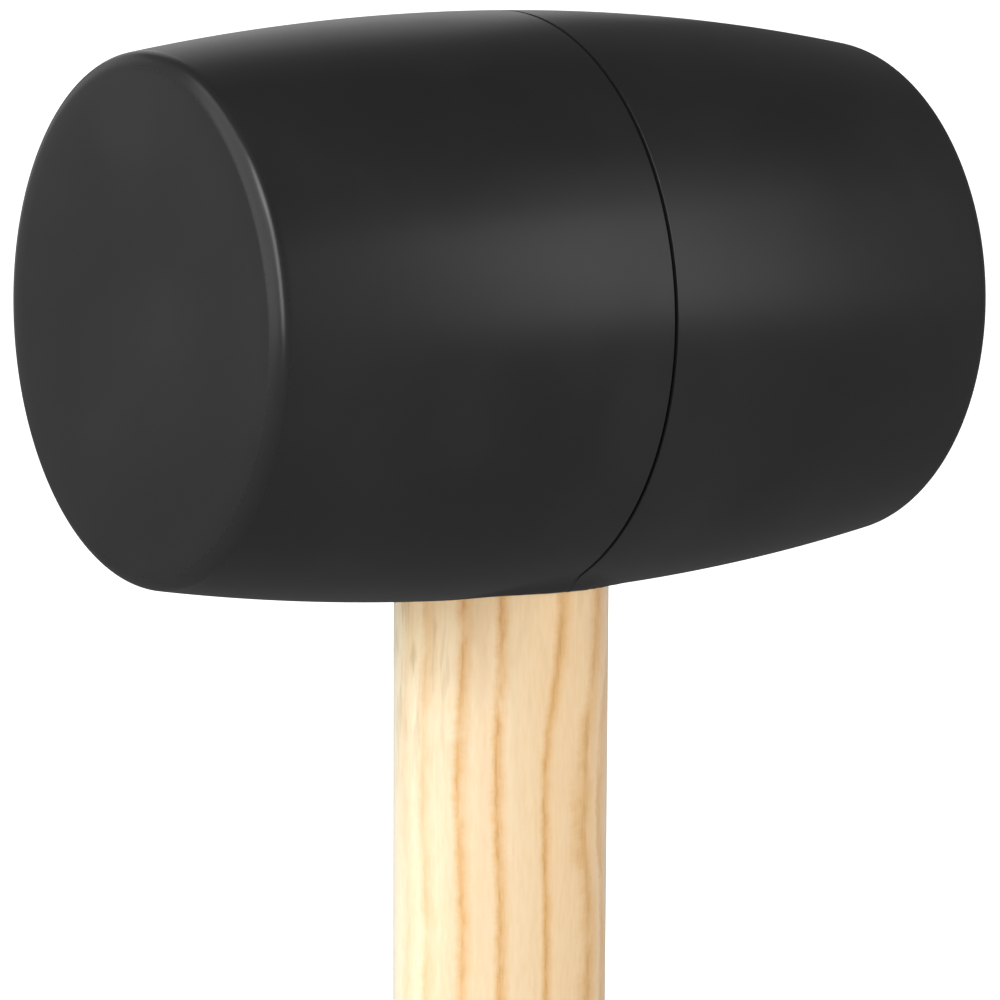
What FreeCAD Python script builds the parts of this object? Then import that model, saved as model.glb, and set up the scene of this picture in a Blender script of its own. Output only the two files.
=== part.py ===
import FreeCAD, Part
import math
import os
from FreeCAD import Vector

# A rubber mallet: a crowned rubber head lying along X, on a turned ash handle standing along Z.
# The head is bored from below only, so the handle ends inside it. That end, the tenon, is sawn
# and spread by a hidden wedge, and glue fills what is left of the socket.
# The origin is the middle of the butt of the handle. Sizes are in millimetres.

# Whole mallet
overall_length = 330.0

# Rubber head, turned about X
head_length = 94.0
girth_radius = 32.5
crown_drop = 4.2  # the side's arc is this much lower in the plane of a striking face
rim_radius = 2.0
parting_groove_width = 0.4
parting_groove_depth = 0.5
mouth_land_radius = 13.0
mouth_land_rise = 1.7  # above the underside of the girth
mouth_land_height = 4.0
mouth_land_flare = 2.0  # how far its side widens in that height
roof_thickness = 12.5  # rubber left above the socket

# Joint between the head and the handle
neck_radius = 12.05
glue_gap = 0.25
glue_floor_gap = 0.7
saw_cut_width = 1.6
saw_cut_depth = 34.0
leaf_spread = 0.9  # how far each half of the sawn end is pushed out at its tip
wedge_length = 30.0
wedge_breadth = 22.0
glue_ring_width = 1.0
glue_ring_depth = 0.5
glue_ring_pitch = 4.0
glue_ring_count = 3
first_glue_ring = 5.0  # above the underside of the head

# Handle outside the head: heights above the butt, and the radius at each, where the side is upright
butt_round = 8.0
butt_radius = 15.2
butt_height = 14.0
pinch_radius = 13.3
pinch_height = 55.0
grip_radius = 14.6
grip_height = 108.0
waist_radius = 12.0
waist_height = 190.0
neck_height = 258.0
lathe_mark_radius = 1.5
lathe_mark_depth = 1.6

overcut = 1.0  # how far a cutting shape runs past the surface that it cuts

# Worked out from the sizes above
head_axis_height = overall_length - girth_radius
underside_height = overall_length - 2 * girth_radius
socket_floor_height = overall_length - roof_thickness
socket_radius = neck_radius + glue_gap
tenon_end_height = socket_floor_height - glue_floor_gap
saw_cut_bottom = tenon_end_height - saw_cut_depth
leaf_lean = leaf_spread / saw_cut_depth  # sideways per unit of height


def upright_cylinder(radius, bottom, top):
    return Part.makeCylinder(radius, top - bottom, Vector(0, 0, bottom))


def revolved(edges, axis):
    return Part.Face(Part.Wire(edges)).revolve(Vector(0, 0, 0), axis, 360)


def head_outline():
    """Half a section through the head, above X: two flat faces, two round rims and the crowned side."""
    half = head_length / 2
    crown_radius = (half ** 2 + crown_drop ** 2) / (2 * crown_drop)
    crown_centre = girth_radius - crown_radius
    rim_x = half - rim_radius
    rim_z = crown_centre + math.sqrt((crown_radius - rim_radius) ** 2 - rim_x ** 2)
    lean = math.atan2(rim_x, rim_z - crown_centre)
    halfway = (lean + math.pi / 2) / 2

    def rim_points(side):
        """Where the rim's arc leaves the flat face, its middle, and where it meets the crowned side."""
        middle_x = rim_x + rim_radius * math.sin(halfway)
        middle_z = rim_z + rim_radius * math.cos(halfway)
        shoulder_x = crown_radius * math.sin(lean)
        shoulder_z = crown_centre + crown_radius * math.cos(lean)
        places = [(half, rim_z), (middle_x, middle_z), (shoulder_x, shoulder_z)]
        return [Vector(side * x, 0, z) for x, z in places]

    rear = rim_points(-1)
    front = rim_points(1)
    return [
        Part.makeLine(Vector(-half, 0, 0), rear[0]),
        Part.Arc(*rear).toShape(),
        Part.Arc(rear[2], Vector(0, 0, girth_radius), front[2]).toShape(),
        Part.Arc(*reversed(front)).toShape(),
        Part.makeLine(front[0], Vector(half, 0, 0)),
        Part.makeLine(Vector(half, 0, 0), Vector(-half, 0, 0)),
    ]


def parting_ring():
    """The groove round the girth, where the two halves of the mould met."""
    outer = Part.makeCylinder(girth_radius + overcut, parting_groove_width)
    inner = Part.makeCylinder(girth_radius - parting_groove_depth, parting_groove_width)
    ring = outer.cut(inner)
    ring.rotate(Vector(0, 0, 0), Vector(0, 1, 0), 90)
    ring.translate(Vector(-parting_groove_width / 2, 0, head_axis_height))
    return ring


def head_blank():
    """The head with no socket. A small land round the socket's mouth fills out the curve of the
    barrel on either side, and the groove stops there."""
    barrel = revolved(head_outline(), Vector(1, 0, 0))
    barrel.translate(Vector(0, 0, head_axis_height))
    land = Part.makeCone(
        mouth_land_radius,
        mouth_land_radius + mouth_land_flare,
        mouth_land_height,
        Vector(0, 0, underside_height + mouth_land_rise),
    )
    return barrel.cut(parting_ring()).fuse(land).removeSplitter()


def half_width(radius):
    """Half the width across X of a round end of this radius, where the saw cut crosses it."""
    return math.sqrt(radius ** 2 - (saw_cut_width / 2) ** 2)


def leaf(radius, side, top):
    """One half of a sawn round end, pushed out along Y by its lean."""
    left = Vector(-half_width(radius), side * saw_cut_width / 2, saw_cut_bottom)
    right = Vector(half_width(radius), side * saw_cut_width / 2, saw_cut_bottom)
    outermost = Vector(0, side * radius, saw_cut_bottom)
    section = Part.Wire([Part.Arc(left, outermost, right).toShape(), Part.makeLine(right, left)])
    rise = top - saw_cut_bottom
    return Part.Face(section).extrude(Vector(0, side * leaf_lean * rise, rise))


def between_leaves(half_breadth, bottom, top):
    """A block that fills the gap between the two leaves, which widens upwards."""
    low = saw_cut_width / 2 + leaf_lean * (bottom - saw_cut_bottom)
    high = saw_cut_width / 2 + leaf_lean * (top - saw_cut_bottom)
    corners = [(-low, bottom), (low, bottom), (high, top), (-high, top), (-low, bottom)]
    section = Part.makePolygon([Vector(-half_breadth, y, z) for y, z in corners])
    return Part.Face(section).extrude(Vector(2 * half_breadth, 0, 0))


def socket_space():
    """The room in the socket: round at its mouth, and wider along Y at its floor."""
    room = upright_cylinder(socket_radius, underside_height - overcut, saw_cut_bottom)
    for side in (-1, 1):
        room = room.fuse(leaf(socket_radius, side, socket_floor_height))
    middle = between_leaves(half_width(socket_radius), saw_cut_bottom, socket_floor_height)
    return room.fuse(middle).removeSplitter()


def rubber_head():
    return head_blank().cut(socket_space())


def side_curve(lower, upper):
    """The handle's side from one (radius, height) to another, upright at both."""
    third = (upper[1] - lower[1]) / 3
    curve = Part.BezierCurve()
    curve.setPoles([
        Vector(lower[0], 0, lower[1]),
        Vector(lower[0], 0, lower[1] + third),
        Vector(upper[0], 0, upper[1] - third),
        Vector(upper[0], 0, upper[1]),
    ])
    return curve.toShape()


def turned_handle():
    """The handle as turned, up to the bottom of its saw cut."""
    flat_radius = butt_radius - butt_round
    halfway = butt_round * math.sqrt(0.5)
    butt_arc = [
        Vector(flat_radius, 0, 0),
        Vector(flat_radius + halfway, 0, butt_round - halfway),
        Vector(butt_radius, 0, butt_round),
    ]
    stations = [
        (butt_radius, butt_height),
        (pinch_radius, pinch_height),
        (grip_radius, grip_height),
        (waist_radius, waist_height),
        (neck_radius, neck_height),
    ]
    edges = [
        Part.makeLine(Vector(0, 0, 0), butt_arc[0]),
        Part.Arc(*butt_arc).toShape(),
        Part.makeLine(butt_arc[2], Vector(butt_radius, 0, butt_height)),
    ]
    for lower, upper in zip(stations, stations[1:]):
        edges.append(side_curve(lower, upper))
    neck_top = Vector(neck_radius, 0, saw_cut_bottom)
    edges.append(Part.makeLine(Vector(neck_radius, 0, neck_height), neck_top))
    edges.append(Part.makeLine(neck_top, Vector(0, 0, saw_cut_bottom)))
    edges.append(Part.makeLine(Vector(0, 0, saw_cut_bottom), Vector(0, 0, 0)))
    return revolved(edges, Vector(0, 0, 1))


def glue_rings():
    """Shallow grooves turned round the tenon, for the glue to key into."""
    rings = []
    for number in range(glue_ring_count):
        bottom = underside_height + first_glue_ring + number * glue_ring_pitch
        outer = upright_cylinder(neck_radius + overcut, bottom, bottom + glue_ring_width)
        inner = upright_cylinder(neck_radius - glue_ring_depth, bottom, bottom + glue_ring_width)
        rings.append(outer.cut(inner))
    return Part.makeCompound(rings)


def ash_handle():
    handle = turned_handle()
    for side in (-1, 1):
        handle = handle.fuse(leaf(neck_radius, side, tenon_end_height))
    handle = handle.removeSplitter().cut(glue_rings())
    lathe_mark = Part.makeCone(lathe_mark_radius, 0, lathe_mark_depth)
    return handle.cut(lathe_mark)


def tenon_wedge():
    """A thin wedge that holds the two leaves of the sawn end apart."""
    return between_leaves(wedge_breadth / 2, tenon_end_height - wedge_length, tenon_end_height)


def socket_glue():
    """Glue fills the socket round the wood, and is wiped flush at its mouth."""
    space = head_blank().common(socket_space())
    return space.cut(ash_handle()).cut(tenon_wedge())


def main():
    pieces = {
        "rubber_head": rubber_head(),
        "ash_handle": ash_handle(),
        "tenon_wedge": tenon_wedge(),
        "socket_glue": socket_glue(),
    }
    os.makedirs("parts", exist_ok=True)
    for name, shape in pieces.items():
        shape.exportStep(f"parts/{name}.step")
        volume = shape.Volume / 1000
        print(f"{name}: {len(shape.Solids)} solid, {volume:.2f} cm3, valid {shape.isValid()}")


main()
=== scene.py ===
import math

import bpy
from mathutils import Matrix, Vector


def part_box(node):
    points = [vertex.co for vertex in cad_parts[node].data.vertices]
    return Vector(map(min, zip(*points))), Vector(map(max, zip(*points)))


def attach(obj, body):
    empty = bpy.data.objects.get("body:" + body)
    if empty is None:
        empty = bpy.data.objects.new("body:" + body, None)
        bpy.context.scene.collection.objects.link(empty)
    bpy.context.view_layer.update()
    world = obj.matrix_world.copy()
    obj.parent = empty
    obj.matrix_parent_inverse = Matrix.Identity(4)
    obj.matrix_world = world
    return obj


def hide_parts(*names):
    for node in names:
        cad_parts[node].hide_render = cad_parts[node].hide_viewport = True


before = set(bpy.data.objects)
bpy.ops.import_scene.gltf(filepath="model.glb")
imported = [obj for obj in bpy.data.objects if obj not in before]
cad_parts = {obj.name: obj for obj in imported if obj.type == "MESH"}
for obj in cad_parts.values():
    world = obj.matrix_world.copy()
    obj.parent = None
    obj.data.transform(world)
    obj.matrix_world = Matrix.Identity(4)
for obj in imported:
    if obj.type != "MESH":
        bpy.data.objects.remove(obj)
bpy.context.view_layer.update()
mm = 0.001
mergeDistance = 0.001 * mm  # points closer together than this become one
roundingMargin = 0.0005  # added before rounding down, so that a whole number stays itself
creaseAngle = 35  # degrees: a sharper bend is shaded as an edge


class Wire:  # a node's output that can stand in a sum
    def __init__(self, bench, socket):
        self.bench = bench
        self.socket = socket

    def maths(self, operation, *others):
        return self.bench.add("ShaderNodeMath", {"operation": operation}, dict(enumerate([self, *others])))

    def __add__(self, other):
        return self.maths("ADD", other)

    def __sub__(self, other):
        return self.maths("SUBTRACT", other)

    def __mul__(self, other):
        return self.maths("MULTIPLY", other)

    def __truediv__(self, other):
        return self.maths("DIVIDE", other)

    def __pow__(self, other):
        return self.maths("POWER", other)

    def __rsub__(self, other):
        return self.bench.number(other).maths("SUBTRACT", self)

    def __rtruediv__(self, other):
        return self.bench.number(other).maths("DIVIDE", self)

    def __neg__(self):
        return self * -1

    def __abs__(self):
        return self.maths("ABSOLUTE")

    __radd__ = __add__
    __rmul__ = __mul__

    def remap(self, low, high, newLow=0.0, newHigh=1.0, kind="LINEAR"):  # held at its ends
        inputs = {"Value": self, "From Min": low, "From Max": high, "To Min": newLow, "To Max": newHigh}
        return self.bench.add("ShaderNodeMapRange", {"interpolation_type": kind}, inputs)

    def out(self, name):  # another output of the same node
        return Wire(self.bench, self.socket.node.outputs[name])


class Bench:  # where the nodes of one tree are put together
    def __init__(self, tree):
        self.tree = tree

    def add(self, kind, settings=None, inputs=None):
        node = self.tree.nodes.new(kind)
        for name, value in (settings or {}).items():
            if name == "stops":
                self.setStops(node.color_ramp, value)
            else:
                setattr(node, name, value)
        for key, value in (inputs or {}).items():
            self.plug(self.find(node, key), value)
        shown = [s for s in node.outputs if s.enabled]
        return Wire(self, shown[0]) if shown else node

    def find(self, node, key):  # some nodes have several inputs of one name, and use one of them
        if isinstance(key, int):
            return node.inputs[key]
        return next(s for s in node.inputs if s.name == key and s.enabled)

    def plug(self, socket, value):
        if isinstance(value, Wire):
            self.tree.links.new(value.socket, socket)
        elif value is not None:
            socket.default_value = value

    def number(self, value):
        return self.add("ShaderNodeMath", {"operation": "ADD"}, {0: value, 1: 0.0})

    def split(self, vector):  # its X, Y and Z
        parts = self.add("ShaderNodeSeparateXYZ", {}, {0: vector})
        return [parts.out(axis) for axis in "XYZ"]

    def join(self, x=0.0, y=0.0, z=0.0):
        return self.add("ShaderNodeCombineXYZ", {}, {"X": x, "Y": y, "Z": z})

    def setStops(self, ramp, stops):
        while len(ramp.elements) < len(stops):
            ramp.elements.new(1.0)
        for element, (place, colour) in zip(ramp.elements, stops):
            element.position = place
            element.color = colour


def openTree(name, inputs):  # a geometry tree with its named inputs
    tree = bpy.data.node_groups.new(name, "GeometryNodeTree")
    tree.interface.new_socket("Geometry", in_out="INPUT", socket_type="NodeSocketGeometry")
    for label, kind in inputs:
        tree.interface.new_socket(label, in_out="INPUT", socket_type="NodeSocket" + kind)
    tree.interface.new_socket("Geometry", in_out="OUTPUT", socket_type="NodeSocketGeometry")
    bench = Bench(tree)
    source = tree.nodes.new("NodeGroupInput")
    wires = {s.name: Wire(bench, s) for s in source.outputs if s.name}
    return tree, bench, wires


def closeTree(bench, geometry, material):  # every tree ends the same way
    real = bench.add("GeometryNodeRealizeInstances", {}, {"Geometry": geometry})
    painted = bench.add("GeometryNodeSetMaterial", {}, {"Geometry": real, "Material": material})
    sink = bench.tree.nodes.new("NodeGroupOutput")
    bench.plug(sink.inputs[0], painted)


def gridPlace(bench, columns):  # the row of a grid's point, and its place in that row
    index = bench.add("GeometryNodeInputIndex")
    row = (index / columns + roundingMargin).maths("FLOOR")
    return row, index - row * columns


def wrapGrid(bench, rows, columns, place):  # a grid with its points put in place, and closed up
    grid = bench.add("GeometryNodeMeshGrid", {}, {"Vertices X": rows, "Vertices Y": columns})
    skin = bench.add("GeometryNodeSetPosition", {}, {"Geometry": grid, "Position": place})
    return bench.add("GeometryNodeMergeByDistance", {}, {"Geometry": skin, "Distance": mergeDistance})


def cutAway(bench, body, tool):
    return bench.add("GeometryNodeMeshBoolean", {"operation": "DIFFERENCE", "solver": "EXACT"}, {
        "Mesh 1": body, "Mesh 2": tool,
    })


def show(item):
    bpy.context.scene.collection.objects.link(item)


def grow(name, tree, values, points=()):  # runs a tree on a line of points and keeps the plain mesh
    line = bpy.data.meshes.new(name + "Line")
    line.from_pydata(points, [(i, i + 1) for i in range(len(points) - 1)], [])
    seed = bpy.data.objects.new(name + "Seed", line)
    show(seed)
    modifier = seed.modifiers.new("Grow", "NODES")
    modifier.node_group = tree
    for item in tree.interface.items_tree:
        if item.in_out == "INPUT" and item.name in values:
            modifier[item.identifier] = values[item.name]
    ready = seed.evaluated_get(bpy.context.evaluated_depsgraph_get())
    mesh = bpy.data.meshes.new_from_object(ready)
    bpy.data.objects.remove(seed)
    bpy.data.meshes.remove(line)
    mesh.name = name
    used = next(m for m in mesh.materials if m)  # a boolean leaves an empty slot behind
    mesh.materials.clear()
    mesh.materials.append(used)
    mesh.polygons.foreach_set("material_index", [0] * len(mesh.polygons))
    mesh.shade_smooth()
    mesh.set_sharp_from_angle(angle=math.radians(creaseAngle))
    piece = bpy.data.objects.new(name, mesh)
    show(piece)
    return piece


# Head
headLow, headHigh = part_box("rubber_head")
head = {
    "length": headHigh.x - headLow.x,
    "girthRadius": headHigh.y,
    "crownDrop": 4.2 * mm,
    "rimRadius": 2.0 * mm,
    "easeWidth": 2.0 * mm,  # the edge of each face falls away this far in from its rim
    "easeDepth": 0.08 * mm,
    "grooveWidth": 0.40 * mm,
    "grooveDepth": 0.50 * mm,
    "grooveLip": 0.06 * mm,  # half the width of a groove wall's slope
    "landRadius": 13.0 * mm,  # a flat land round the socket's mouth, where the groove stops
    "landRise": 1.7 * mm,  # above the underside of the girth
    "landSlope": 1.2,  # how steeply its rim flares up into the barrel
    "landSoftness": 1.6 * mm,
    "landReach": 8.0 * mm,  # further than this from the land, the barrel is left alone
    "crowding": 0.45,  # how much closer together the segments are underneath
    "stations": 261,  # along the section, from one face's centre to the other's
    "segments": 256,
}
head["axisHeight"] = headHigh.z - head["girthRadius"]
underside = head["axisHeight"] - head["girthRadius"]


def barrelTree():
    tree, bench, given = openTree("moulded barrel", [
        ("Length", "Float"), ("Girth Radius", "Float"), ("Crown Drop", "Float"), ("Rim Radius", "Float"),
        ("Ease Width", "Float"), ("Ease Depth", "Float"),
        ("Groove Width", "Float"), ("Groove Depth", "Float"), ("Groove Lip", "Float"),
        ("Axis Height", "Float"), ("Stations", "Int"), ("Segments", "Int"), ("Crowding", "Float"),
        ("Land Radius", "Float"), ("Land Rise", "Float"), ("Land Slope", "Float"),
        ("Land Softness", "Float"), ("Land Reach", "Float"),
        ("Socket", "Object"), ("Material", "Material"),
    ])
    half = given["Length"] / 2
    crown = (half ** 2 + given["Crown Drop"] ** 2) / (given["Crown Drop"] * 2)
    crownCentre = given["Girth Radius"] - crown
    rim = given["Rim Radius"]
    rimX = half - rim
    rimZ = crownCentre + ((crown - rim) ** 2 - rimX ** 2).maths("SQRT")
    lean = rimX.maths("ARCTAN2", rimZ - crownCentre)
    shoulderX = crown * lean.maths("SINE")
    grooveReach = given["Groove Width"] / 2 + given["Groove Lip"] * 2

    columns = given["Segments"] + 1
    station, segment = gridPlace(bench, columns)
    turn = segment / given["Segments"] * math.tau
    turn = turn + turn.maths("SINE") * given["Crowding"]
    along = station / (given["Stations"] - 1) * 2 - 1
    away = abs(along)  # 0 at the girth, 1 at the middle of a face
    grooveEnd = 0.11  # where the closely set stations in the groove end,
    sideEnd = 0.62  # those of the side,
    rimEnd = 0.80  # and those of the rim
    sideX = away.remap(0, grooveEnd, 0, grooveReach)
    sideX = sideX + away.remap(grooveEnd, sideEnd, 0, shoulderX - grooveReach)
    bend = away.remap(sideEnd, rimEnd, lean, math.pi / 2)
    inward = 1 - away.remap(rimEnd, 1, 0, 1) ** 2
    wallX = given["Groove Width"] / 2
    wall = sideX.remap(wallX - given["Groove Lip"], wallX + given["Groove Lip"], 1, 0, "SMOOTHSTEP")
    sideZ = crownCentre + (crown ** 2 - sideX ** 2).maths("SQRT") - wall * given["Groove Depth"]
    onSide = away.maths("LESS_THAN", sideEnd)
    x = onSide * sideX + (1 - onSide) * (rimX + rim * bend.maths("SINE"))
    radius = onSide * sideZ + (1 - onSide) * (rimZ * inward + rim * bend.maths("COSINE"))
    eased = (radius - rimZ + given["Ease Width"]).maths("MAXIMUM", 0.0) / given["Ease Width"]
    x = x - eased ** 2 * given["Ease Depth"] * away.remap(sideEnd, rimEnd, 0, 1, "SMOOTHSTEP")
    x = x * along.maths("SIGN")
    y = radius * turn.maths("SINE")
    z = given["Axis Height"] + radius * turn.maths("COSINE")
    fromSocket = (x ** 2 + y ** 2).maths("SQRT")
    pastLand = fromSocket - given["Land Radius"]
    flare = pastLand.maths("MAXIMUM", 0.0) * given["Land Slope"]
    land = given["Axis Height"] - given["Girth Radius"] + given["Land Rise"] + flare
    nearLand = (z - given["Axis Height"]).maths("LESS_THAN", 0.0)
    nearLand = nearLand * pastLand.maths("LESS_THAN", given["Land Reach"])
    softened = z.maths("SMOOTH_MIN", land, given["Land Softness"])
    z = z + (softened - z) * nearLand
    skin = wrapGrid(bench, given["Stations"], columns, bench.join(x, y, z))
    socket = bench.add("GeometryNodeObjectInfo", {}, {"Object": given["Socket"]}).out("Geometry")
    closeTree(bench, cutAway(bench, skin, socket), given["Material"])
    return tree


# Handle and the joint inside the head
_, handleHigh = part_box("ash_handle")
handle = {
    "neckRadius": 12.05 * mm,
    "buttRadius": handleHigh.x,
    "buttRound": 8.0 * mm,
    "buttHeight": 14.0 * mm,
    "pinch": (13.3 * mm, 55 * mm),  # radius and height
    "grip": (14.6 * mm, 108 * mm),
    "waist": (12.0 * mm, 190 * mm),
    "neckHeight": 258 * mm,
    "spacing": 2.4 * mm,  # of the points along its side
    "roundPoints": 18,  # round the edge of the butt
    "flatParts": 6,  # across the flat of the butt
    "latheMarkRadius": 1.5 * mm,
    "latheMarkDepth": 1.6 * mm,
    "sawCutWidth": 1.6 * mm,
    "sawCutDepth": 34.0 * mm,
    "leafSpread": 0.9 * mm,  # at the tip of the tenon, each way along Y
    "glueRings": [5 * mm, 9 * mm, 13 * mm],  # above the underside of the head
    "ringWidth": 1.0 * mm,
    "ringDepth": 0.5 * mm,
    "segments": 192,
}
glue = {
    "gap": 0.25 * mm,
    "floorGap": 0.7 * mm,
}
cutter = {  # for the socket
    "overrun": 6.0 * mm,  # below the head
    "mouthRows": 15,  # above the mouth, one every millimetre
}
tenonEnd = handleHigh.z
sawCutBottom = tenonEnd - handle["sawCutDepth"]
socketRadius = handle["neckRadius"] + glue["gap"]
socketFloor = tenonEnd + glue["floorGap"]


def turnedTree():  # turns a line of (radius, height) points about Z, then saws and spreads its end
    tree, bench, given = openTree("turned piece", [
        ("Segments", "Int"), ("Saw Cut Width", "Float"), ("Saw Cut Bottom", "Float"), ("Sawn", "Bool"),
        ("Leaf Lean", "Float"), ("Material", "Material"),
    ])
    line = given["Geometry"]
    points = bench.add("GeometryNodeAttributeDomainSize", {"component": "MESH"}, {"Geometry": line})
    columns = given["Segments"] + 1
    station, segment = gridPlace(bench, columns)
    turn = -segment / given["Segments"] * math.tau
    sampled = bench.add("GeometryNodeSampleIndex", {"data_type": "FLOAT_VECTOR"}, {
        "Geometry": line, "Value": bench.add("GeometryNodeInputPosition"), "Index": station,
    })
    radius, _, height = bench.split(sampled)
    place = bench.join(radius * turn.maths("COSINE"), radius * turn.maths("SINE"), height)
    skin = wrapGrid(bench, points, columns, place)
    sawReach = 60 * mm  # more than the tenon measures either way
    sawSize = bench.join(sawReach, given["Saw Cut Width"], sawReach)
    saw = bench.add("GeometryNodeMeshCube", {}, {"Size": sawSize})
    saw = bench.add("GeometryNodeTransform", {}, {
        "Geometry": saw, "Translation": bench.join(z=given["Saw Cut Bottom"] + sawReach / 2),
    })
    piece = bench.add("GeometryNodeSwitch", {"input_type": "GEOMETRY"}, {
        "Switch": given["Sawn"], "False": skin, "True": cutAway(bench, skin, saw),
    })
    _, y, z = bench.split(bench.add("GeometryNodeInputPosition"))
    side = y.remap(given["Saw Cut Width"] / -2, given["Saw Cut Width"] / 2, -1, 1)
    above = (z - given["Saw Cut Bottom"]).maths("MAXIMUM", 0.0)
    push = bench.join(y=side * above * given["Leaf Lean"])
    piece = bench.add("GeometryNodeSetPosition", {}, {"Geometry": piece, "Offset": push})
    closeTree(bench, piece, given["Material"])
    return tree


def arcPoints(centre, radius, start, end, count):  # in the (radius, height) plane, angles in degrees
    points = []
    for i in range(count):
        angle = math.radians(start + (end - start) * i / (count - 1))
        points.append((centre[0] + radius * math.cos(angle), centre[1] + radius * math.sin(angle)))
    return points


def handleLine():
    flat = handle["buttRadius"] - handle["buttRound"]
    mark = handle["latheMarkRadius"]
    parts = handle["flatParts"]
    points = [(0, handle["latheMarkDepth"]), (mark, 0)]
    points += [(mark + (flat - mark) * i / parts, 0) for i in range(1, parts)]
    points += arcPoints((flat, handle["buttRound"]), handle["buttRound"], -90, 0, handle["roundPoints"])
    neck = handle["neckRadius"]
    low = (handle["buttRadius"], handle["buttHeight"])
    points.append(low)
    for high in (handle["pinch"], handle["grip"], handle["waist"], (neck, handle["neckHeight"])):
        steps = math.ceil((high[1] - low[1]) / handle["spacing"])
        for i in range(1, steps + 1):  # upright at both ends, and smooth between them
            t = i / steps
            eased = 3 * t ** 2 - 2 * t ** 3
            points.append((low[0] + (high[0] - low[0]) * eased, low[1] + (high[1] - low[1]) * t))
        low = high
    bed = neck - handle["ringDepth"]
    for ring in handle["glueRings"]:
        bottom = underside + ring
        top = bottom + handle["ringWidth"]
        points += [(neck, bottom), (bed, bottom), (bed, top), (neck, top)]
    points += [(neck, sawCutBottom), (neck, tenonEnd), (0, tenonEnd)]
    return points


def socketLine():
    start = underside - cutter["overrun"]
    return [
        (0, start),
        (socketRadius, start),
        *[(socketRadius, underside + i * mm) for i in range(-1, cutter["mouthRows"])],
        (socketRadius, sawCutBottom),
        (socketRadius, socketFloor),
        (0, socketFloor),
    ]


def turned(name, line, material, tree, sawn=False):
    return grow(name, tree, {
        "Segments": handle["segments"],
        "Saw Cut Width": handle["sawCutWidth"],
        "Saw Cut Bottom": sawCutBottom,
        "Sawn": sawn,
        "Leaf Lean": handle["leafSpread"] / handle["sawCutDepth"],
        "Material": material,
    }, [(radius, 0, height) for radius, height in line])


# Finishes
def openMaterial(name):
    material = bpy.data.materials.new(name)
    material.use_nodes = True
    material.node_tree.nodes.clear()
    bench = Bench(material.node_tree)
    here = bench.add("ShaderNodeTexCoord").out("Object")
    return material, bench, here


def noise(bench, place, cells, detail=2.0):  # cells is how many there are per metre, each way
    scaled = bench.add("ShaderNodeVectorMath", {"operation": "MULTIPLY"}, {0: place, 1: cells})
    return bench.add("ShaderNodeTexNoise", {"noise_dimensions": "3D"}, {
        "Vector": scaled, "Scale": 1.0, "Detail": detail, "Roughness": 0.5,
    })


def blend(bench, factor, first, second, kind="MIX"):  # of colours
    return bench.add("ShaderNodeMix", {"data_type": "RGBA", "blend_type": kind}, {
        "Factor": factor, "A": first, "B": second,
    })


def bump(bench, height, depth, strength=0.5):
    return bench.add("ShaderNodeBump", {}, {"Height": height, "Distance": depth, "Strength": strength})


def closeMaterial(bench, inputs):
    shader = bench.add("ShaderNodeBsdfPrincipled", {}, inputs)
    bench.add("ShaderNodeOutputMaterial", {}, {"Surface": shader})


rubberFinish = {
    "dark": (0.0158, 0.0158, 0.0165, 1),
    "pale": (0.0192, 0.0192, 0.0199, 1),
    "bloom": (0.025, 0.025, 0.026, 1),  # the grey film that rubber sweats out
    # painted shade: the groove's colour is almost black, standing in for the shade inside it
    "grooveShade": (0.0015, 0.0015, 0.0015, 1),
    "cloudCells": (45, 45, 45),  # per metre, as all cells below
    "cloudRange": (0.35, 0.65),  # the part of the noise over which dark turns to pale
    "flowCells": (90, 60, 60),
    "filmRange": (0.28, 0.42),  # the same for the grey film
    "filmShare": 0.2,
    "grainCells": (1500, 1500, 1500),
    "speckleCells": (2600, 2600, 2600),
    "gloss": 0.22,
    "roughness": 0.33,
    "roughnessSpread": 0.03,
    "speckleSpread": 0.04,
    "seamRoughness": 0.5,  # added in the groove
    "burnish": 0.07,  # how much smoother the rims are
    "burnishInset": (2.2 * mm, 1.4 * mm),  # where it starts and is full, from the plane of a face
    "burnishRadius": (26.2 * mm, 27.2 * mm),  # and from the axis of the barrel
    "seamInset": (0.25 * mm, 0.03 * mm),  # where the groove's painted shade is full, and where that ends
    "peel": 0.010 * mm,  # depth of the mould's fine texture
    "peelStrength": 0.4,
    "peelSpeckle": 0.4,  # the share of the finest grain in it
}


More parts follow.
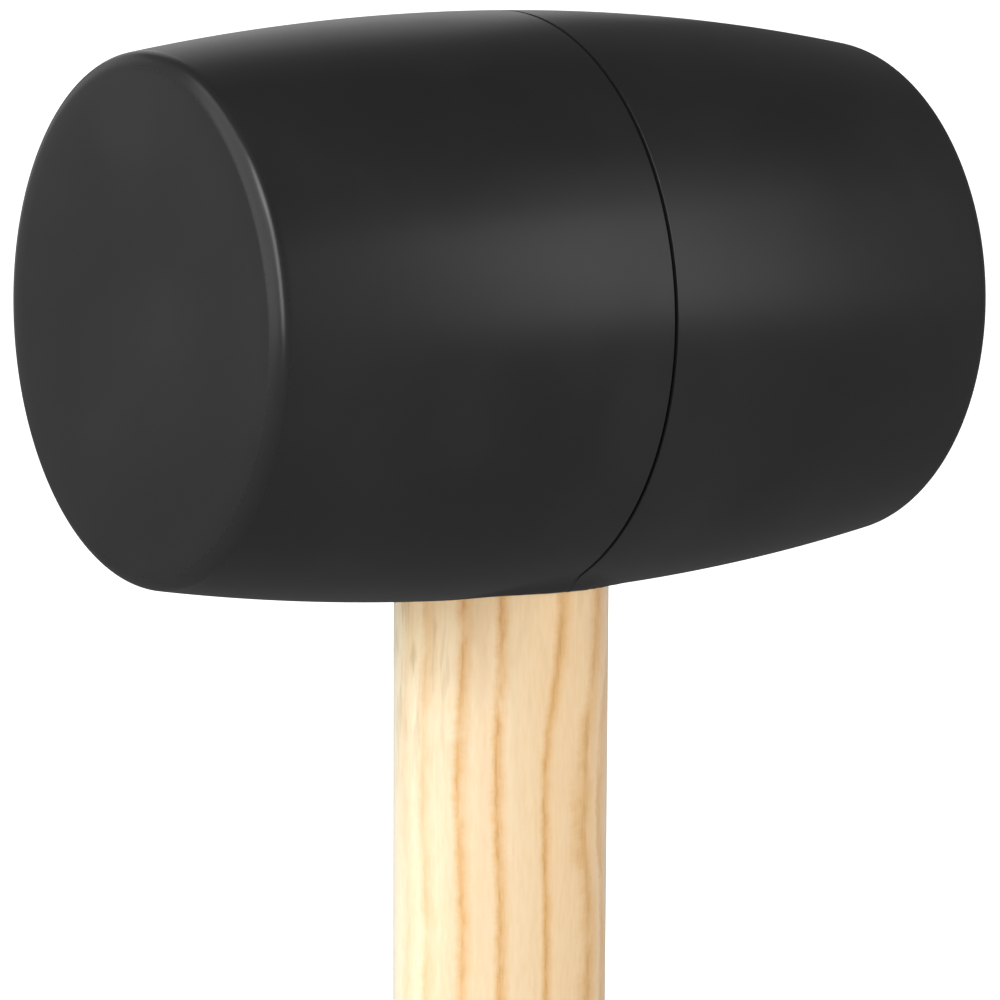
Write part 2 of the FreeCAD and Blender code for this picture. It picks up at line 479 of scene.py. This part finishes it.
def rubberMaterial():
    material, bench, here = openMaterial("mouldedRubber")
    look = rubberFinish
    clouds = noise(bench, here, look["cloudCells"], 3.0)
    flow = noise(bench, here, look["flowCells"])
    grain = noise(bench, here, look["grainCells"])
    speckle = noise(bench, here, look["speckleCells"], 1.0)
    x, y, z = bench.split(here)
    fromAxis = (y ** 2 + (z - head["axisHeight"]) ** 2).maths("SQRT")
    rimStart, rimFull = [head["length"] / 2 - inset for inset in look["burnishInset"]]
    rims = abs(x).remap(rimStart, rimFull) * fromAxis.remap(*look["burnishRadius"])
    seamDark, seamEnd = [head["girthRadius"] - inset for inset in look["seamInset"]]
    # painted shade: the groove is coloured near black, as the shade that falls inside it
    grooveShade = abs(x).remap(head["grooveWidth"] * 0.5, head["grooveWidth"] * 0.75, 1, 0)
    grooveShade = grooveShade * fromAxis.remap(seamDark, seamEnd, 1, 0)
    base = blend(bench, clouds.remap(*look["cloudRange"]), look["dark"], look["pale"])
    film = (clouds * flow).remap(*look["filmRange"]) * look["filmShare"]
    base = blend(bench, film, base, look["bloom"])
    base = blend(bench, grooveShade, base, look["grooveShade"])
    roughness = look["roughness"] + (flow - 0.5) * look["roughnessSpread"]
    roughness = roughness + (speckle - 0.5) * look["speckleSpread"]
    roughness = roughness - rims * look["burnish"] + grooveShade * look["seamRoughness"]
    relief = grain + speckle * look["peelSpeckle"]
    closeMaterial(bench, {
        "Base Color": base,
        "Roughness": roughness,
        "Specular IOR Level": look["gloss"],
        "Normal": bump(bench, relief, look["peel"], look["peelStrength"]),
    })
    return material


ashFinish = {  # places are in mm across the handle, and depths in mm down from the head
    # partly painted light: a paler sapwood tone, laid on the lit left side of the handle
    "paleSapwoodAndLight": (0.90, 0.80, 0.57, 1),
    "cream": (0.85, 0.665, 0.42, 1),
    "pink": (0.80, 0.59, 0.36, 1),
    "warm": (0.89, 0.58, 0.29, 1),  # further from the bark
    "early": (0.74, 0.42, 0.14, 1),  # the porous wood that starts each ring
    "core": (0.58, 0.29, 0.08, 1),  # its darkest part
    # painted shade: the tint that darkens the wood just under the head
    "shadeUnderHead": (0.74, 0.66, 0.54, 1),
    "grime": (0.42, 0.26, 0.11, 1),
    "across": (0.825, -0.565, 0),  # the way that the rings follow each other
    "rings": [  # the place of each, and how strongly it shows
        (-15.2, 0.6), (-13.0, 0.7), (-10.2, 0.4), (-8.1, 0.55), (-4.1, 0.9), (0.1, 1.0),
        (6.7, 1.0), (10.7, 0.95), (12.3, 0.8), (14.2, 0.8),
    ],
    "halfRange": 17.0,  # of the places above
    "rise": 0.85,  # mm over which a ring grows dark,
    "fall": 1.35,  # and over which it fades
    "bowDepth": 38.0,  # the rings bow to one side and back over this
    "bow": 0.30,  # half of how far they bow, in mm
    "leanDepth": 25.0,
    "lean": 1.9,  # how far the rings on one side lean in that depth
    "leanFrom": (1.5, 6.0),
    "leanUntil": (7.6, 9.4),
    "leanBeyond": 0.45,  # the share of the lean that is left past there
    "drift": 3.6,  # how far the rings stray further down, in mm
    "driftCells": (6, 6, 16),
    "waves": [  # cells per metre, detail, and how far in mm they move a ring
        ((60, 60, 190), 2.0, 0.5),
        ((300, 300, 800), 1.0, 0.4),
        ((1400, 1400, 2600), 1.0, 0.25),
    ],
    "patchCells": (150, 150, 12),
    "patchRange": (0.35, 0.65),  # the part of the noise over which cream turns to pink
    "streakCells": (1100, 1100, 26),
    "streakRange": (0.42, 0.70),
    "streakShare": 0.45,
    "fibreCells": (2400, 2400, 420),
    "fibreRange": (0.42, 0.72),
    "fibreShare": 0.2,
    "poreCells": (3000, 3000, 420),
    "poreRange": (0.46, 0.60),
    "blotCells": (420, 420, 170),  # they break up the rings
    "earlyRange": (0.32, 0.56),
    "earlyLeast": 0.6,
    "coreRange": (0.34, 0.52),
    "coreLeast": 0.35,
    "corePores": 0.45,
    "warmFrom": (1.5, 6.0),
    "warmShare": 0.45,
    # partly painted light: where the paler sapwood tone covers the lit left side
    "paleSapwoodAndLightUntil": (-8.5, -1.5),
    "paleSapwoodAndLightShare": 0.9,
    "paleSapwoodAndLightBlur": 14,  # mm by which patches move its edge
    # painted shade under the head: how deep it reaches, how strong it is, and where across the handle it
    # fades
    "shadeUnderHeadDepth": 12.0,
    "shadeUnderHeadShare": 0.95,
    "shadeUnderHeadUntil": (-1.0, 4.0),
    "shadeUnderHeadBeyond": 0.1,
    "scratchCells": (900, 900, 150),
    "scratchRange": (0.50, 0.63),
    "grimeDepth": 24.0,
    "grimeShare": 0.9,
    "grimeUntil": (-14.0, -3.0),
    "grimeBeyond": 0.12,
    "roughness": 0.42,
    "poreRoughness": 0.2,
    "streakRoughness": 0.08,
    "lacquer": 0.3,
    "lacquerRoughness": 0.18,
    "fuzz": 0.6,  # the pale edge of a fine nap
    "fuzzRoughness": 0.4,
    "poreDepth": 0.04 * mm,
    "poreRest": 0.1,  # how deep the pores are between the rings, against those in them
    "streakDepth": 0.2,  # and the streaks
}


def ashMaterial():
    material, bench, here = openMaterial("lacqueredAsh")
    look = ashFinish
    across = bench.add("ShaderNodeVectorMath", {"operation": "DOT_PRODUCT"}, {
        0: here, 1: look["across"],
    }).out("Value") / mm
    down = (underside - bench.split(here)[2]) / mm  # below the head

    deep = look["bowDepth"]
    bowed = 1 - (down.maths("MINIMUM", deep).maths("MAXIMUM", 0.0) * (math.tau / deep)).maths("COSINE")
    lean = across.remap(*look["leanFrom"]) * across.remap(*look["leanUntil"], 1, look["leanBeyond"])
    lean = lean * down.remap(0, look["leanDepth"], 0, look["lean"], "SMOOTHSTEP")
    drift = down.remap(deep, 2 * deep, 0, look["drift"])
    drift = (noise(bench, here, look["driftCells"], 1.0) - 0.5) * drift
    ringPlace = across + bowed * look["bow"] + lean + drift
    for cells, detail, reach in look["waves"]:
        ringPlace = ringPlace + (noise(bench, here, cells, detail) - 0.5) * reach
    edge = look["halfRange"]
    stops = []
    for middle, strength in look["rings"]:
        for offset, height in ((-look["rise"], 0), (0, strength), (look["fall"], 0)):
            stops.append(((middle + offset + edge) / (2 * edge), (height, height, height, 1)))
    ramp = bench.add("ShaderNodeValToRGB", {"stops": stops}, {"Fac": ringPlace.remap(-edge, edge)})
    ring = ramp * 1.0  # a plain number from a grey

    patch = noise(bench, here, look["patchCells"])
    streak = noise(bench, here, look["streakCells"])
    fibre = noise(bench, here, look["fibreCells"], 3.0)
    pores = noise(bench, here, look["poreCells"], 1.0).remap(*look["poreRange"])
    blot = noise(bench, here, look["blotCells"])
    scratches = noise(bench, here, look["scratchCells"]).remap(*look["scratchRange"])

    base = blend(bench, patch.remap(*look["patchRange"]), look["cream"], look["pink"])
    base = blend(bench, streak.remap(*look["streakRange"]) * look["streakShare"], base, look["pink"])
    # partly painted light: the lit left side is made paler, as a sapwood tone
    pale = across + (patch - 0.5) * look["paleSapwoodAndLightBlur"]
    pale = pale.remap(*look["paleSapwoodAndLightUntil"], look["paleSapwoodAndLightShare"], 0)
    base = blend(bench, pale, base, look["paleSapwoodAndLight"])
    base = blend(bench, across.remap(*look["warmFrom"], 0, look["warmShare"]), base, look["warm"])
    base = blend(bench, fibre.remap(*look["fibreRange"]) * look["fibreShare"], base, look["early"])
    early = ring * blot.remap(*look["earlyRange"], look["earlyLeast"], 1)
    base = blend(bench, early, base, look["early"])
    core = ring ** 3 * (pores * look["corePores"] + look["coreLeast"]) * blot.remap(*look["coreRange"])
    base = blend(bench, core, base, look["core"])
    # painted shade: the wood is darkened just below the head, most on the left, standing in for the head's
    # shadow
    shadeUnderHeadMask = down.remap(0, look["shadeUnderHeadDepth"], look["shadeUnderHeadShare"], 0)
    shadeUnderHeadMask = shadeUnderHeadMask * across.remap(*look["shadeUnderHeadUntil"], 1, look["shadeUnderHeadBeyond"])
    base = blend(bench, shadeUnderHeadMask, base, look["shadeUnderHead"], "MULTIPLY")
    nearHead = down.remap(0, look["grimeDepth"], 1, 0)
    nearHead = nearHead * across.remap(*look["grimeUntil"], 1, look["grimeBeyond"])
    base = blend(bench, scratches * nearHead * look["grimeShare"], base, look["grime"])

    rough = look["roughness"] + pores * ring * look["poreRoughness"]
    relief = -pores * (ring + look["poreRest"]) - streak * look["streakDepth"]
    closeMaterial(bench, {
        "Base Color": base,
        "Roughness": rough + (streak - 0.5) * look["streakRoughness"],
        "Coat Weight": look["lacquer"],
        "Coat Roughness": look["lacquerRoughness"],
        "Sheen Weight": look["fuzz"],
        "Sheen Roughness": look["fuzzRoughness"],
        "Normal": bump(bench, relief, look["poreDepth"]),
    })
    return material


beechFinish = {
    "dark": (0.52, 0.31, 0.17, 1),
    "pale": (0.66, 0.44, 0.27, 1),
    "fleck": (0.36, 0.19, 0.10, 1),
    "grainCells": (700, 700, 30),
    "fleckCells": (1600, 1600, 260),
    "fleckRange": (0.58, 0.66),
    "fleckShare": 0.6,
    "roughness": 0.62,
    "roughnessSpread": 0.1,
    "grainDepth": 0.06 * mm,
}


def beechMaterial():
    material, bench, here = openMaterial("splitBeech")
    look = beechFinish
    grain = noise(bench, here, look["grainCells"])
    fleck = noise(bench, here, look["fleckCells"], 1.0).remap(*look["fleckRange"])
    base = blend(bench, grain, look["dark"], look["pale"])
    base = blend(bench, fleck * look["fleckShare"], base, look["fleck"])
    closeMaterial(bench, {
        "Base Color": base,
        "Roughness": look["roughness"] + (grain - 0.5) * look["roughnessSpread"],
        "Normal": bump(bench, grain, look["grainDepth"]),
    })
    return material


glueFinish = {
    "dark": (0.34, 0.19, 0.07, 1),
    "pale": (0.56, 0.36, 0.15, 1),
    "cloudCells": (420, 420, 420),
    "roughness": 0.22,
    "roughnessSpread": 0.15,
    "ripple": 0.05 * mm,
}


def glueMaterial():
    material, bench, here = openMaterial("curedGlue")
    look = glueFinish
    cloud = noise(bench, here, look["cloudCells"])
    closeMaterial(bench, {
        "Base Color": blend(bench, cloud, look["dark"], look["pale"]),
        "Roughness": look["roughness"] + cloud * look["roughnessSpread"],
        "Normal": bump(bench, cloud, look["ripple"]),
    })
    return material


paperFinish = {
    "dark": (0.78, 0.78, 0.78, 1),
    "pale": (0.84, 0.84, 0.84, 1),
    "fibreCells": (900, 900, 900),
    "roughness": 0.9,
    "nearGlow": (0.25, 0.25, 0.25, 1),  # it is lit from within, and more so further out
    "farGlow": (1.1, 1.1, 1.1, 1),
    "glowFrom": (0.25, 0.85),  # metres from the mallet
    "glow": 1.1,
}


def paperMaterial():
    material, bench, here = openMaterial("paper")
    look = paperFinish
    flat = bench.add("ShaderNodeVectorMath", {"operation": "MULTIPLY"}, {0: here, 1: (1, 1, 0)})
    away = bench.add("ShaderNodeVectorMath", {"operation": "LENGTH"}, {0: flat}).out("Value")
    farOut = away.remap(*look["glowFrom"], 0, 1, "SMOOTHSTEP")
    closeMaterial(bench, {
        "Base Color": blend(bench, noise(bench, here, look["fibreCells"]), look["dark"], look["pale"]),
        "Roughness": look["roughness"],
        "Emission Color": blend(bench, farOut, look["nearGlow"], look["farGlow"]),
        "Emission Strength": look["glow"],
    })
    return material


print("mixing the finishes")
rubber = rubberMaterial()
ash = ashMaterial()
beech = beechMaterial()
resin = glueMaterial()

print("turning the handle")
lathe = turnedTree()
ashHandle = turned("ashHandle", handleLine(), ash, lathe, sawn=True)
print("moulding the head")
socketCutter = turned("socketCutter", socketLine(), rubber, lathe)
rubberHead = grow("rubberHead", barrelTree(), {
    "Length": head["length"],
    "Girth Radius": head["girthRadius"],
    "Crown Drop": head["crownDrop"],
    "Rim Radius": head["rimRadius"],
    "Ease Width": head["easeWidth"],
    "Ease Depth": head["easeDepth"],
    "Groove Width": head["grooveWidth"],
    "Groove Depth": head["grooveDepth"],
    "Groove Lip": head["grooveLip"],
    "Axis Height": head["axisHeight"],
    "Stations": head["stations"],
    "Segments": head["segments"],
    "Crowding": head["crowding"],
    "Land Radius": head["landRadius"],
    "Land Rise": head["landRise"],
    "Land Slope": head["landSlope"],
    "Land Softness": head["landSoftness"],
    "Land Reach": head["landReach"],
    "Socket": socketCutter,
    "Material": rubber,
})
bpy.data.objects.remove(socketCutter)

print("fitting the pieces")
for piece, node, slot in (
    (rubberHead, "rubber_head", "black_rubber"),
    (ashHandle, "ash_handle", "lacquered_ash"),
):
    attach(piece, "root")
    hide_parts(node)

ashHandle.visible_glossy = False  # or it glows in the rubber above it
for node, material in (("tenon_wedge", beech), ("socket_glue", resin)):  # these keep their own shapes
    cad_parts[node].material_slots[0].material = material

# Camera
camera = {
    "azimuth": -34.45,
    "elevation": 4.79,
    "distance": 513.0 * mm,
    "dip": 2.439,  # degrees that the lens points below the head's centre,
    "turn": 0.02,  # and to the left of it
    "roll": 0.30,
    "lens": 165.9,
    "sensor": 36,
    "nearest": 0.01,  # nothing closer than this is drawn,
    "furthest": 200,  # or further off than this
}
headCentre = Vector((0, 0, head["axisHeight"]))


def outwards(azimuth, elevation):  # from the head, towards a camera or a lamp
    heading = math.radians(azimuth)
    climb = math.radians(elevation)
    level = math.cos(climb)
    return Vector((math.sin(heading) * level, -math.cos(heading) * level, math.sin(climb)))


def facing(back):  # turned towards the head, and upright
    return back.to_track_quat("Z", "Y").to_matrix()


def rotation(angle, axis):
    return Matrix.Rotation(math.radians(angle), 3, axis)


def placeCamera():
    data = bpy.data.cameras.new("camera")
    data.lens = camera["lens"]
    data.sensor_width = camera["sensor"]
    data.clip_start = camera["nearest"]
    data.clip_end = camera["furthest"]
    item = bpy.data.objects.new("camera", data)
    show(item)
    back = outwards(camera["azimuth"], camera["elevation"])
    aim = facing(back) @ rotation(camera["turn"], "Y") @ rotation(-camera["dip"], "X")
    aim = (aim @ rotation(camera["roll"], "Z")).to_4x4()
    item.matrix_world = Matrix.Translation(headCentre + back * camera["distance"]) @ aim
    bpy.context.scene.camera = item


# Floor and lights
studio = {
    "floorReach": 60,  # metres, each way
    "world": 0.15,
    "lamps": {  # azimuth, elevation, distance, width, height, radiance
        "leftWindow": (-100, 18, 1.2, 1.3, 1.0, 2.2),
        "leftSoft": (-60, 14, 1.2, 0.4, 0.6, 1.5),
        "leftHigh": (-110, 50, 1.2, 0.8, 0.4, 2.5),
        "lowLeft": (-94, -8, 1.2, 0.8, 0.24, 3.6),
        "lowFront": (-34, -8, 1.2, 0.8, 0.24, 2.8),
        "rimGlint": (-46, 22, 1.2, 0.36, 1.0, 9.0),
        "rimTop": (-62, 44, 1.2, 0.4, 0.4, 11.0),
        "rightStrip": (33, 15, 1.2, 0.34, 0.75, 3.9),
        "nearStrip": (22, 14, 1.2, 0.2, 0.8, 0.5),
        "farStrip": (46, 14, 1.2, 0.3, 0.8, 0.5),
        "highStrip": (46, 36, 1.2, 0.3, 0.4, 1.1),
        "rightSide": (85, 15, 1.2, 0.6, 1.0, 0.1),
        "overhead": (0, 80, 1.2, 0.9, 0.9, 0.2),
        "leftBack": (-170, 12, 1.2, 0.6, 0.8, 0.5),
        "backCard": (160, 30, 0.4, 0.24, 0.2, 0.6),
        "backCardLow": (150, 12, 0.4, 0.15, 0.15, 0.4),
    },
    "fillOnly": ("lowLeft", "lowFront"),  # not mirrored in the rubber
    "glintOnly": ("rimGlint", "rimTop"),  # only mirrored
}


def placeFloor():
    mesh = bpy.data.meshes.new("floor")
    reach = studio["floorReach"]
    corners = [(-reach, -reach, 0), (reach, -reach, 0), (reach, reach, 0), (-reach, reach, 0)]
    mesh.from_pydata(corners, [], [(0, 1, 2, 3)])
    mesh.materials.append(paperMaterial())
    floor = bpy.data.objects.new("floor", mesh)
    show(floor)
    floor.visible_glossy = False


def placeLamp(name, azimuth, elevation, distance, width, height, radiance):
    data = bpy.data.lights.new(name, "AREA")
    data.shape = "RECTANGLE"
    data.size = width
    data.size_y = height
    data.energy = radiance * math.pi * width * height
    lamp = bpy.data.objects.new(name, data)
    show(lamp)
    lamp.visible_camera = False
    lamp.visible_glossy = name not in studio["fillOnly"]
    lamp.visible_diffuse = name not in studio["glintOnly"]
    back = outwards(azimuth, elevation)
    lamp.matrix_world = Matrix.Translation(headCentre + back * distance) @ facing(back).to_4x4()


def lightWorld():
    world = bpy.data.worlds.new("studio")
    world.use_nodes = True
    background = world.node_tree.nodes["Background"].inputs
    background["Color"].default_value = (1, 1, 1, 1)
    background["Strength"].default_value = studio["world"]
    bpy.context.scene.world = world


print("lighting the studio")
placeCamera()
placeFloor()
for name, values in studio["lamps"].items():
    placeLamp(name, *values)
lightWorld()
bpy.context.scene.view_settings.view_transform = "Standard"
